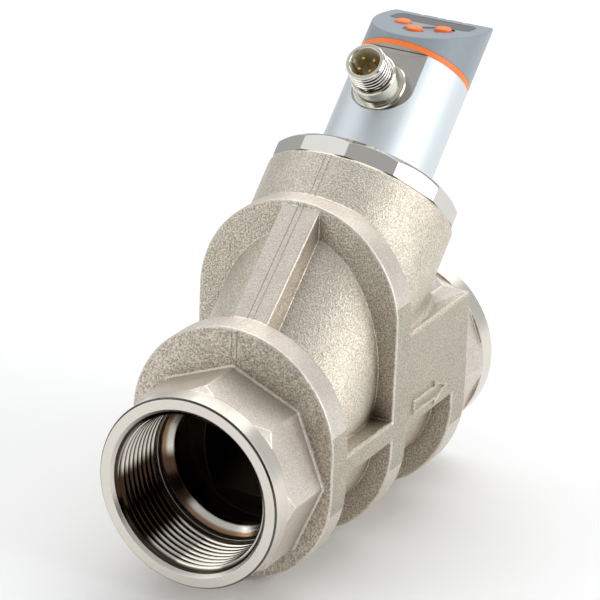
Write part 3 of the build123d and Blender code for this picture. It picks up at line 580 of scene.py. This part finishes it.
# The reference shows one side of the inlet dark and brown; it is drawn as a painted dark reflection
# over that side.
REFLECTION_SIDE = (0.47, 0.883, 0.0)
DARK_SIDED_THREAD = replace(CUT_THREAD, name="dark_sided_nickel_thread", painted_reflection="#3A2C22",
                       reflection_towards=REFLECTION_SIDE)
# The connector's thread: bright crests over roots painted dark as shade, so that its turns read as
# stripes.
CUT_CONNECTOR = TurnedMetal("cut_connector_thread", "#4E4A42", LatheAxis.CONNECTOR, 0.3 * MM,
                            0.001 * MM, (0.08, 0.14), 0.03 * MM, "#F4F0E8", 5.6 * MM, 0.2 * MM)
# The shoulder behind the thread is bronze, with a bright lip at the port, and takes the same painted
# dark reflection on one side as the inlet thread.
BRONZE_SHOULDER = TurnedMetal("bronze_nickel_shoulder", "#DAD5CB", LatheAxis.FLOW, 0.3 * MM,
                               0.003 * MM, (0.1, 0.2), 0.8 * MM, "#94755A", 20.6 * MM, 0.7 * MM,
                               "#4A382B", REFLECTION_SIDE, (0.88, 0.96))
# The bonnet's flats mirror the room as plain light and dark facets.
TURNED_BONNET = TurnedMetal("turned_nickel_bonnet", "#CFCCC6", LatheAxis.NECK, 0.35 * MM,
                            0.002 * MM, (0.07, 0.13), 0.2 * MM)
# The passages are dull and drawn dark brown: painted shade deep inside the bore.
SHADED_BORE = TurnedMetal("shaded_dull_brass_bore", "#4A423B", LatheAxis.FLOW, 0.8 * MM, 0.01 * MM,
                           (0.3, 0.45), 0.3 * MM)
# The stainless tube is ground round its axis, so highlights run along it as soft bands.
GROUND_STAINLESS = TurnedMetal("ground_stainless_tube", "#D6DDE0", LatheAxis.NECK, 0.2 * MM,
                               0.004 * MM, (0.44, 0.54), 0.25 * MM)
# The milled flat is glossier than the tube, and mirrors the darker side of the room.
MILLED_STAINLESS = TurnedMetal("milled_stainless_flat", "#BDBAB5", LatheAxis.CONNECTOR, 0.5 * MM,
                               0.003 * MM, (0.16, 0.24), 0.2 * MM)
# Bright nickel over brass gives the connector sharp, warm reflections.
PLATED_CONNECTOR = TurnedMetal("bright_nickel_connector", "#DED9CC", LatheAxis.CONNECTOR, 0.3 * MM,
                               0.004 * MM, (0.1, 0.2), 0.15 * MM)
# Drawn wire is grey, with soft highlights along it.
SPRING_STEEL = TurnedMetal("drawn_spring_steel", "#9FA1A4", LatheAxis.NECK, 0.3 * MM, 0.003 * MM,
                           (0.25, 0.35), 0.1 * MM)
# The magnet's plating is grey and satin.
MAGNET_PLATE = TurnedMetal("plated_magnet", "#A9AAAC", LatheAxis.NECK, 0.4 * MM, 0.003 * MM,
                           (0.2, 0.3), 0.1 * MM)
# Gold flash gives the pins small warm glints.
GOLD_FLASH = TurnedMetal("gold_flash_on_brass", "#E3B45C", LatheAxis.CONNECTOR, 0.2 * MM,
                         0.002 * MM, (0.12, 0.22), 0.05 * MM)
# The cap, its ring and its keys are moulded ABS: even colour and soft gloss.
CAP_ABS = MouldedPlastic("grey_blue_moulded_abs", "#8E989F", 0.4)
ORANGE_ABS = MouldedPlastic("orange_moulded_abs", "#FF7E30", 0.38)
# The connector's insert is glass-filled nylon: olive and matt.
INSERT_NYLON = MouldedPlastic("olive_moulded_nylon", "#C9C2A6", 0.45)
# The piston and the bushes are acetal: smooth and slightly waxy.
PISTON_ACETAL = MouldedPlastic("black_moulded_acetal", "#191A1D", 0.22)
BEARING_ACETAL = MouldedPlastic("natural_moulded_acetal", "#DED8C8", 0.4)
# Seals are nitrile rubber: black and dull.
SEAL_RUBBER = MouldedPlastic("black_moulded_nitrile_rubber", "#1B1B1B", 0.6)
# On the boards: epoxy packages, clear epoxy lamps and green glass laminate.
CHIP_EPOXY = MouldedPlastic("black_moulded_epoxy", "#202022", 0.5)
LAMP_EPOXY = MouldedPlastic("clear_cast_epoxy", "#D8DACD", 0.2)
BOARD_LAMINATE = MouldedPlastic("green_glass_epoxy_laminate", "#1F5B3A", 0.35)
# The window hides the display that is switched off, and keeps a glossy skin.
WINDOW = SmokedPolycarbonate()


def lathe(profile: list[tuple[float, float]], segments: int, place: Matrix) -> Shape:
    """Turns an outline about a frame's z axis.

    Args:
        profile: pairs of radius and z along the outline.
        segments: steps round the axis.
        place: the frame to turn in.

    Returns:
        Points and faces.
    """
    points = []
    for step in range(segments):
        angle = 2 * math.pi * step / segments
        for radius, z in profile:
            spot = Vector((radius * math.cos(angle), radius * math.sin(angle), z))
            points.append(tuple(place @ spot))
    rows = len(profile)
    faces = []
    for step in range(segments):
        here, there = step * rows, (step + 1) % segments * rows
        faces += [(here + row, there + row, there + row + 1, here + row + 1)
                  for row in range(rows - 1)]
    return points, faces


def make_piece(name: str, shape: Shape, finish: Finish, crease: float = 35.0) -> bpy.types.Object:
    """Makes an object from points and faces, smooth but for its sharp edges.

    Args:
        name: the piece's name.
        shape: its points and faces.
        finish: its finish.
        crease: the angle in degrees above which an edge stays sharp.

    Returns:
        The new object, linked to the scene.
    """
    mesh = bpy.data.meshes.new(name)
    mesh.from_pydata(shape[0], [], shape[1])
    mesh.validate()
    mesh.shade_smooth()
    mesh.set_sharp_from_angle(angle=math.radians(crease))
    mesh.materials.append(finish.material())
    piece = bpy.data.objects.new(name, mesh)
    bpy.context.scene.collection.objects.link(piece)
    LOG.info("%s: %d faces", name, len(mesh.polygons))
    return piece


def dress(frame: dict, node: str, *finishes: Finish) -> bpy.types.Object:
    """Gives a CAD node its finishes.

    Args:
        node: the node's name.
        finishes: its finishes, in the order of their slots.

    Returns:
        The node's object.
    """
    piece = frame["nodes"][node]
    piece.data.materials.clear()
    for finish in finishes:
        piece.data.materials.append(finish.material())
    LOG.info("%s: dressed with %s", node, ", ".join(finish.name for finish in finishes))
    return piece


@dataclass
class ScrewThread:
    """A screw thread drawn as one helical skin over a plain cylinder."""

    root_radius: float
    crest_radius: float
    pitch: float
    length: float
    steps_round: int = 96
    steps_per_turn: int = 12
    crest_share: float = 0.16

    def radius(self, phase: float) -> float:
        """Radius at a phase of one turn, with flats at root and crest.

        Args:
            phase: turns along the thread.

        Returns:
            The radius.
        """
        rise = abs(2 * (phase % 1.0) - 1.0)
        share = min(max((rise - self.crest_share) / (1 - 2 * self.crest_share), 0.0), 1.0)
        return self.crest_radius + (self.root_radius - self.crest_radius) * share

    def skin(self, place: Matrix, limit: "ThreadEnds") -> Shape:
        """Makes the skin.

        Args:
            place: frame with the thread's axis along z and its start at z = 0.
            limit: how the thread runs out at its two ends.

        Returns:
            Points and faces.
        """
        rows = math.ceil(self.length / self.pitch + 2) * self.steps_per_turn
        points = []
        for row in range(rows):
            for step in range(self.steps_round):
                share = step / self.steps_round
                z = (row / self.steps_per_turn - 1 + share) * self.pitch
                z = min(max(z, 0.0), self.length)
                phase = row / self.steps_per_turn
                radius = limit.clip(self.radius(phase), z, self)
                angle = 2 * math.pi * share
                spot = Vector((radius * math.cos(angle), radius * math.sin(angle), z))
                points.append(tuple(place @ spot))
        faces = []
        for row in range(rows - 1):
            for step in range(self.steps_round):
                here = row * self.steps_round + step
                above = here + self.steps_round
                if step + 1 < self.steps_round:
                    faces.append((here, here + 1, above + 1, above))
                elif row + self.steps_per_turn + 1 < rows:
                    after = (row + self.steps_per_turn) * self.steps_round
                    faces.append((here, after, after + self.steps_round, above))
        return points, faces


@dataclass
class ThreadEnds:
    """Cones that cut a thread's crests back at its two ends."""

    start_radius: float
    start_slope: float
    end_radius: float
    end_slope: float

    def clip(self, radius: float, z: float, thread: ScrewThread) -> float:
        """Limits a radius.

        Args:
            radius: the thread's own radius.
            z: distance from the thread's start.
            thread: the thread.

        Returns:
            The radius after the end cones.
        """
        start = self.start_radius + self.start_slope * z
        end = self.end_radius + self.end_slope * (thread.length - z)
        if thread.crest_radius < thread.root_radius:
            return min(max(radius, start, end), thread.root_radius)
        return max(min(radius, start, end), thread.root_radius)


@dataclass
class ValveBody:
    """Cast body with its turned rims, threads and seat."""

    length: float = 134.0 * MM
    rim_length: float = 6.1 * MM
    rim_radius: float = 28.25 * MM
    bore_radius: float = 24.95 * MM
    shoulder_start: float = 23.5 * MM
    port_end: float = 28.3 * MM
    passage_radius: float = 21.8 * MM
    neck_bore_radius: float = 24.2 * MM
    neck_top: float = 79.2 * MM
    thread_start: float = 0.9 * MM
    thread_radius: float = 23.88 * MM
    thread_depth: float = 1.48 * MM
    thread_pitch: float = 2.309 * MM
    thread_length: float = 20.6 * MM
    octagon_ends: tuple[float, float] = (24.0 * MM, 107.2 * MM)
    rib_starts: tuple[float, ...] = (24.0 * MM, 60.0 * MM, 98.2 * MM)
    rib_rises: tuple[float, ...] = (8.5 * MM, 34.7 * MM, 8.5 * MM)
    rib_width: float = 9.0 * MM
    rib_drop: float = 2.4 * MM
    rib_radius: float = 32.3 * MM
    web_foot: tuple[float, float] = (32.0 * MM, 40.2 * MM)
    web_head: tuple[float, float] = (61.0 * MM, 66.4 * MM)
    rub_depth: float = 0.6 * MM
    wall_slope: float = 0.95
    corner_slope: tuple[float, float] = (0.3, 0.9)
    mouth_taper: float = -1.0
    run_out_taper: float = -2.0

    def cast_zone(self, centre: Vector, normal: Vector) -> Zone:
        """Tells how a cast face was left.

        Args:
            centre: the face's centre.
            normal: the face's direction.

        Returns:
            Its zone.
        """
        if abs(normal.x) > self.wall_slope:
            return Zone.WALL
        if not self.octagon_ends[0] < centre.x < self.octagon_ends[1]:
            return Zone.CROWN
        if abs(centre.y) > self.rib_radius - self.rub_depth and abs(normal.y) > self.wall_slope:
            return Zone.PAD
        for start, rise in zip(self.rib_starts, self.rib_rises):
            off_spine = centre.z - min(max(centre.z, -self.rib_drop), rise)
            if (0 <= centre.x - start <= self.rib_width
                    and math.hypot(centre.y, off_spine) > self.rib_radius - self.rub_depth):
                return Zone.CROWN
        (foot_x, foot_z), (head_x, head_z) = self.web_foot, self.web_head
        web_top = foot_z + (centre.x - foot_x) * (head_z - foot_z) / (head_x - foot_x)
        if foot_x < centre.x < head_x and centre.z > web_top - self.rub_depth:
            return Zone.WEB
        return Zone.CAST

    def zone(self, centre: Vector, normal: Vector) -> Zone:
        """Tells how a face of the casting was made.

        Args:
            centre: the face's centre.
            normal: the face's direction.

        Returns:
            Its zone.
        """
        from_end = min(centre.x, self.length - centre.x)
        radius = math.hypot(centre.y, centre.z)
        if from_end < self.rim_length and radius < self.rim_radius:
            outwards = (centre.y * normal.y + centre.z * normal.z) / radius
            # Rim chamfers take a painted dark reflection.
            chamfer_darkened = self.corner_slope[0] < outwards < self.corner_slope[1]
            return Zone.CORNER if chamfer_darkened else Zone.TURNED
        if from_end < self.port_end and radius < self.bore_radius:
            return Zone.SHOULDER if from_end > self.shoulder_start else Zone.TURNED
        if radius < self.passage_radius:
            return Zone.INNER
        up_neck = centre - NECK.place(0)
        h = up_neck.dot(NECK.up)
        around = (up_neck - NECK.up * h).length
        if h > 0 and around < self.neck_bore_radius:
            return Zone.INNER
        return Zone.TURNED if h > self.neck_top else self.cast_zone(centre, normal)

    def dress_casting(self, frame: dict) -> None:
        """Gives the casting its cast and turned surfaces.
        """
        piece = dress(frame, "valve_body", CASTING, TURNED_ENDS, SHADED_BORE, BRONZE_SHOULDER,
                      DARK_CHAMFER, CROWN_CASTING, WEB_CASTING, PAD_CASTING, WALL_CASTING)
        for face in piece.data.polygons:
            face.material_index = self.zone(face.center, face.normal).value
        dress(frame, "seat_ring", TURNED_BONNET)

    def add_thread(self, name: str, finish: Finish, face_x: float, inward: int) -> None:
        """Adds the pipe thread of one end.

        Args:
            name: the piece's name.
            finish: its finish.
            face_x: where the end's face is.
            inward: 1 where the thread runs with the flow, -1 against it.
        """
        thread = ScrewThread(self.thread_radius, self.thread_radius - self.thread_depth,
                             self.thread_pitch, self.thread_length)
        start = Vector((face_x + inward * self.thread_start, 0, 0))
        place = frame_matrix(start, Vector((0, 0, 1)), Vector((inward, 0, 0)))
        ends = ThreadEnds(self.thread_radius, self.mouth_taper, self.thread_radius,
                          self.run_out_taper)
        piece = make_piece(name, thread.skin(place, ends), finish, THREAD_CREASE)
        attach(piece, "body")

    def build(self, frame: dict) -> None:
        """Builds and dresses the valve body.
        """
        self.dress_casting(frame)
        self.add_thread("inlet_thread", DARK_SIDED_THREAD, 0.0, 1)
        self.add_thread("outlet_thread", CUT_THREAD, self.length, -1)


@dataclass
class BonnetAndPiston:
    """Bonnet nut, spring, guide and the magnetic piston."""

    finishes: dict[str, Finish] = field(default_factory=lambda: {
        "bonnet": TURNED_BONNET,
        "bonnet_seal": SEAL_RUBBER,
        "guide_bush": BEARING_ACETAL,
        "snap_ring": SPRING_STEEL,
        "return_spring": SPRING_STEEL,
        "piston": PISTON_ACETAL,
        "piston_seal": SEAL_RUBBER,
        "piston_magnet": MAGNET_PLATE,
        "magnet_clip": BEARING_ACETAL,
    })

    def build(self, frame: dict) -> None:
        """Dresses each piece."""
        for node, finish in self.finishes.items():
            dress(frame, node, finish)


@dataclass
class SensorHead:
    """Stainless tube with its milled flat, boards and M12 connector.

    The thread's real pitch is 1 mm. It is drawn coarser, to be seen at the size of a catalogue
    picture.
    """

    flat_d: float = 14.19 * MM
    flange_end: float = 16.99 * MM
    shank_start: float = 9.3 * MM
    shank_radius: float = 6.8 * MM
    flange_radius: float = 8.0 * MM
    collar_radius: float = 6.9 * MM
    collar_end: float = 23.3 * MM
    rim_end: float = 30.9 * MM
    core_radius: float = 5.3 * MM
    thread_radius: float = 5.98 * MM
    thread_pitch: float = 1.4 * MM
    thread_start: float = 23.7 * MM
    rim_length: float = 0.9 * MM
    rim_inset: float = 0.1 * MM
    socket_radius: float = 4.5 * MM
    socket_edge: float = 0.2 * MM
    edge: float = 0.4 * MM
    end_taper: float = 2.0
    shell_steps: int = 96
    shell_crease: float = 25.0

    def dress_tube(self, frame: dict) -> None:
        """Dresses the tube, with a milled finish on its flat.
        """
        piece = dress(frame, "sensor_housing", GROUND_STAINLESS, MILLED_STAINLESS)
        for face in piece.data.polygons:
            from_flat = (face.center - NECK.place(0)).dot(NECK.out) - self.flat_d
            milled = abs(from_flat) < NEAR and face.normal.dot(NECK.out) > FACING
            face.material_index = int(milled)

    def add_shell(self) -> None:
        """Adds the connector's shell, turned in one outline."""
        edge = self.edge
        thread_end = self.rim_end - self.rim_length
        rim_radius = self.thread_radius - self.rim_inset
        outline = [
            (self.socket_radius, self.shank_start),
            (self.shank_radius, self.shank_start),
            (self.shank_radius, self.flat_d),
            (self.flange_radius, self.flat_d),
            (self.flange_radius, self.flange_end - edge),
            (self.flange_radius - edge, self.flange_end),
            (self.collar_radius, self.flange_end),
            (self.collar_radius, self.collar_end - edge),
            (self.collar_radius - edge, self.collar_end),
            (self.core_radius, self.collar_end),
            (self.core_radius, thread_end - edge),
            (rim_radius, thread_end),
            (rim_radius, self.rim_end - edge),
            (self.thread_radius - edge, self.rim_end),
            (self.socket_radius + self.socket_edge, self.rim_end),
            (self.socket_radius, self.rim_end - self.socket_edge),
            (self.socket_radius, self.shank_start),
        ]
        shell = make_piece("connector_shell_turned",
                           lathe(outline, self.shell_steps, NECK.connector(0)),
                           PLATED_CONNECTOR, self.shell_crease)
        shell.data.materials.append(INSERT_NYLON.material())
        for face in shell.data.polygons:
            up_neck = face.center - NECK.place(NECK.connector_h)
            radius = (up_neck - NECK.out * up_neck.dot(NECK.out)).length
            face.material_index = int(radius < self.socket_radius + NEAR)
        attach(shell, "head")
        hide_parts("connector_shell")

    def add_thread(self) -> None:
        """Adds the connector's M12 thread."""
        length = self.rim_end - self.rim_length - self.thread_start
        thread = ScrewThread(self.core_radius, self.thread_radius, self.thread_pitch, length)
        ends = ThreadEnds(self.core_radius, self.end_taper, self.core_radius, self.end_taper)
        piece = make_piece("connector_thread",
                           thread.skin(NECK.connector(self.thread_start), ends),
                           CUT_CONNECTOR, THREAD_CREASE)
        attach(piece, "head")

    def build(self, frame: dict) -> None:
        """Builds and dresses the head.
        """
        self.dress_tube(frame)
        self.add_shell()
        self.add_thread()
        inner = {
            "head_seal": SEAL_RUBBER,
            "connector_nut": PLATED_CONNECTOR,
            "connector_insert": INSERT_NYLON,
            "contact_pins": GOLD_FLASH,
            "main_board": BOARD_LAMINATE,
            "board_holder": BEARING_ACETAL,
            "field_sensors": CHIP_EPOXY,
        }
        for node, finish in inner.items():
            dress(frame, node, finish)


@dataclass
class Display:
    """Swivelling cap with its window, buttons and display board."""

    def build(self, frame: dict) -> None:
        """Dresses the cap and what it carries, and gives the ring's downward faces the milled steel
        finish of the face it rests on over the flat.
        """
        finishes = {
            "display_cap": CAP_ABS,
            "display_window": WINDOW,
            "display_board": BOARD_LAMINATE,
            "display_module": CHIP_EPOXY,
            "status_lamps": LAMP_EPOXY,
            "button_mat": SEAL_RUBBER,
            "mode_button": ORANGE_ABS,
            "down_button": ORANGE_ABS,
            "up_button": ORANGE_ABS,
        }
        for node, finish in finishes.items():
            dress(frame, node, finish)
        ring = dress(frame, "accent_ring", ORANGE_ABS, MILLED_STAINLESS)
        for face in ring.data.polygons:
            face.material_index = int(face.normal.dot(NECK.up) < -FACING)


@dataclass(frozen=True)
class StudioPaper(Finish):
    """Seamless studio paper: matt, nearly white."""

    name: str = "white_studio_paper"
    colour: str = "#F4F4F3"
    fibre: float = 2.0 * MM
    roughness: tuple[float, float] = (0.85, 0.95)

    def build(self) -> bpy.types.Material:
        """Makes the material: matt white with a faint fibre.

        Returns:
            The new material.
        """
        material, tree, shader = self.start(Base_Color=linear(self.colour), IOR=1.4)
        where = add_node(tree, "ShaderNodeTexCoord").outputs["Object"]
        fibre = add_node(tree, "ShaderNodeTexNoise", {},
                         {"Vector": where, "Scale": 1 / self.fibre})
        rough = add_node(tree, "ShaderNodeMapRange", {},
                         {"Value": fibre.outputs[0], "To Min": self.roughness[0],
                          "To Max": self.roughness[1]})
        tree.links.new(rough.outputs[0], shader.inputs["Roughness"])
        return material


@dataclass(frozen=True)
class Softbox:
    """One square softbox aimed at the object."""

    name: str
    place: Point
    size: float
    power: float


@dataclass
class Studio:
    """Floor, softboxes and the camera at the photograph's angle."""

    floor_z: float = -34.75 * MM
    floor_reach: float = 6.0
    aim: Point = (0.062, 0.0, 0.03)
    room_bright: str = "#C4C6C8"
    room_dark: str = "#252527"
    dark_side: Point = (-0.9, -0.43, 0.0)
    dark_from: tuple[float, float] = (0.3, 0.6)
    wall_height: tuple[float, float] = (0.22, 0.42)
    camera_place: Point = (-0.7293, -0.4204, 0.4043)
    camera_azimuth: float = math.radians(27.99)
    camera_drop: float = math.radians(22.32)
    camera_roll: float = math.radians(2.28)
    camera_lens: float = 203.96
    camera_sensor: float = 36.0
    camera_clip: tuple[float, float] = (0.05, 50.0)
    softboxes: tuple[Softbox, ...] = (
        Softbox("right_softbox", (0.23, -1.08, 0.48), 1.0, 7.0),
        Softbox("left_softbox", (-0.07, 0.92, 0.79), 0.9, 1.6),
        Softbox("back_softbox", (0.95, 0.25, 1.45), 2.0, 19.0),
        Softbox("front_softbox", (-1.0, 0.75, 0.3), 0.7, 2.2),
    )

    def add_floor(self) -> None:
        """Adds the paper floor."""
        reach, z = self.floor_reach, self.floor_z
        corners = [(-reach, -reach, z), (reach, -reach, z), (reach, reach, z), (-reach, reach, z)]
        make_piece("studio_floor", (corners, [(0, 1, 2, 3)]), StudioPaper())

    def add_softboxes(self) -> None:
        """Adds the softboxes, each turned to the object."""
        for box in self.softboxes:
            light = bpy.data.lights.new(box.name, "AREA")
            light.energy = box.power
            light.size = box.size
            lamp = bpy.data.objects.new(box.name, light)
            lamp.location = box.place
            lamp.rotation_mode = "QUATERNION"
            aim = Vector(self.aim) - Vector(box.place)
            lamp.rotation_quaternion = aim.to_track_quat("-Z", "Y")
            bpy.context.scene.collection.objects.link(lamp)

    def add_world(self) -> None:
        """Adds the room's light: a grey tent with an unlit wall, which metal shows as bands."""
        world = bpy.data.worlds.new("studio_room")
        world.use_nodes = True
        tree = world.node_tree
        where = add_node(tree, "ShaderNodeTexCoord").outputs["Generated"]
        sides = add_node(tree, "ShaderNodeSeparateXYZ", {}, {0: where})
        low = add_node(tree, "ShaderNodeMapRange", {"interpolation_type": "SMOOTHSTEP"},
                       {"Value": sides.outputs["Z"], "From Min": self.wall_height[0],
                        "From Max": self.wall_height[1], "To Min": 1.0, "To Max": 0.0})
        towards = add_node(tree, "ShaderNodeVectorMath", {"operation": "DOT_PRODUCT"},
                           {0: where, 1: self.dark_side})
        facing = add_node(tree, "ShaderNodeMapRange", {"interpolation_type": "SMOOTHSTEP"},
                          {"Value": towards.outputs["Value"], "From Min": self.dark_from[0],
                           "From Max": self.dark_from[1]})
        share = add_node(tree, "ShaderNodeMath", {"operation": "MULTIPLY"},
                         {0: low.outputs[0], 1: facing.outputs[0]})
        tone = add_node(tree, "ShaderNodeMix", {"data_type": "RGBA"},
                        {"Factor": share.outputs[0], "A": linear(self.room_bright),
                         "B": linear(self.room_dark)})
        tree.links.new(tone.outputs["Result"], tree.nodes["Background"].inputs["Color"])
        bpy.context.scene.world = world

    def add_camera(self) -> None:
        """Adds the camera at the photograph's place, direction and roll."""
        level = math.cos(self.camera_drop)
        ahead = Vector((level * math.cos(self.camera_azimuth),
                        level * math.sin(self.camera_azimuth), -math.sin(self.camera_drop)))
        right = ahead.cross(Vector((0, 0, 1))).normalized()
        above = right.cross(ahead)
        rolled = right * math.cos(self.camera_roll) + above * math.sin(self.camera_roll)
        camera = bpy.data.cameras.new("photo_camera")
        camera.sensor_width = self.camera_sensor
        camera.lens = self.camera_lens
        camera.clip_start, camera.clip_end = self.camera_clip
        piece = bpy.data.objects.new("photo_camera", camera)
        piece.matrix_world = frame_matrix(Vector(self.camera_place), rolled, -ahead)
        bpy.context.scene.collection.objects.link(piece)
        bpy.context.scene.camera = piece

    def build(self) -> None:
        """Builds the studio."""
        bpy.context.scene.view_settings.view_transform = "Standard"
        self.add_floor()
        self.add_softboxes()
        self.add_world()
        self.add_camera()


def main() -> None:
    """Builds the sub-assemblies in order."""
    logging.basicConfig(level=logging.INFO, format="%(name)s: %(message)s")
    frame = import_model()
    ValveBody().build(frame)
    BonnetAndPiston().build(frame)
    SensorHead().build(frame)
    Display().build(frame)
    Studio().build()


if __name__ == "__main__":
    main()
